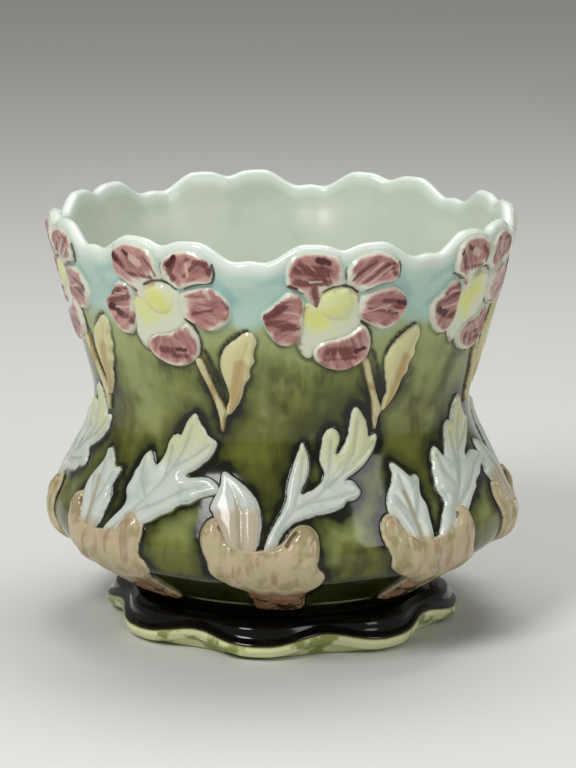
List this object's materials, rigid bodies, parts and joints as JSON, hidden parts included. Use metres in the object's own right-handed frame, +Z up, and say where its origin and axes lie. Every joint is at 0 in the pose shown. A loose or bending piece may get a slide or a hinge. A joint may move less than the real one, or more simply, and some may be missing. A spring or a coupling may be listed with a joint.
{
  "type": "jardiniere on stand",
  "caption": "Glazed pottery jardiniere with a waisted bowl, scalloped rim and floral relief, standing loose in a low scalloped dish stand.",
  "frame": {"origin": "centre of the stand's underside, on the surface it stands on", "axes": "+Z up along the axis of both pieces, -Y towards the front of the picture, +X to its right"},
  "size_m": [0.186, 0.186, 0.1638],
  "materials": {
    "green_glaze": "glossy mottled green glaze, aqua under the rim",
    "dark_glaze": "glossy black-brown glaze with a cream lip",
    "petal_glaze": "glossy mauve-brown glaze with pale edges",
    "yellow_glaze": "glossy pale yellow glaze",
    "tan_glaze": "glossy cream-tan glaze",
    "cream_glaze": "glossy yellow-cream glaze",
    "white_leaf_glaze": "glossy bluish white glaze",
    "pink_tan_glaze": "glossy pink-tan glaze"
  },
  "bodies": {
    "stand": {"stand": "dark_glaze"},
    "pot": {"pot": "green_glaze", "flower_petals_1": "petal_glaze", "flower_petals_2": "petal_glaze", "flower_petals_3": "petal_glaze", "flower_petals_4": "petal_glaze", "flower_petals_5": "petal_glaze", "flower_petals_6": "petal_glaze", "flower_petals_7": "petal_glaze", "flower_petals_8": "petal_glaze", "flower_centre_1": "yellow_glaze", "flower_centre_2": "yellow_glaze", "flower_centre_3": "yellow_glaze", "flower_centre_4": "yellow_glaze", "flower_centre_5": "yellow_glaze", "flower_centre_6": "yellow_glaze", "flower_centre_7": "yellow_glaze", "flower_centre_8": "yellow_glaze", "flower_stem_1": "tan_glaze", "flower_stem_2": "tan_glaze", "flower_stem_3": "tan_glaze", "flower_stem_4": "tan_glaze", "flower_stem_5": "tan_glaze", "flower_stem_6": "tan_glaze", "flower_stem_7": "tan_glaze", "flower_stem_8": "tan_glaze", "bud_leaf_1": "cream_glaze", "bud_leaf_2": "cream_glaze", "bud_leaf_3": "cream_glaze", "bud_leaf_4": "cream_glaze", "bud_leaf_5": "cream_glaze", "bud_leaf_6": "cream_glaze", "bud_leaf_7": "cream_glaze", "bud_leaf_8": "cream_glaze", "broad_leaf_1": "white_leaf_glaze", "broad_leaf_2": "white_leaf_glaze", "broad_leaf_3": "white_leaf_glaze", "broad_leaf_4": "white_leaf_glaze", "broad_leaf_5": "white_leaf_glaze", "broad_leaf_6": "white_leaf_glaze", "broad_leaf_7": "white_leaf_glaze", "broad_leaf_8": "white_leaf_glaze", "lobed_leaf_1": "white_leaf_glaze", "lobed_leaf_2": "white_leaf_glaze", "lobed_leaf_3": "white_leaf_glaze", "lobed_leaf_4": "white_leaf_glaze", "lobed_leaf_5": "white_leaf_glaze", "lobed_leaf_6": "white_leaf_glaze", "lobed_leaf_7": "white_leaf_glaze", "lobed_leaf_8": "white_leaf_glaze", "base_tuft_1": "pink_tan_glaze", "base_tuft_2": "pink_tan_glaze", "base_tuft_3": "pink_tan_glaze", "base_tuft_4": "pink_tan_glaze", "base_tuft_5": "pink_tan_glaze", "base_tuft_6": "pink_tan_glaze", "base_tuft_7": "pink_tan_glaze", "base_tuft_8": "pink_tan_glaze"}
  },
  "joints": [
    {"name": "pot_lift", "type": "slide", "parent": "stand", "child": "pot", "axis": [0, 0, 1], "range_m": [0, 0.06]}
  ]
}
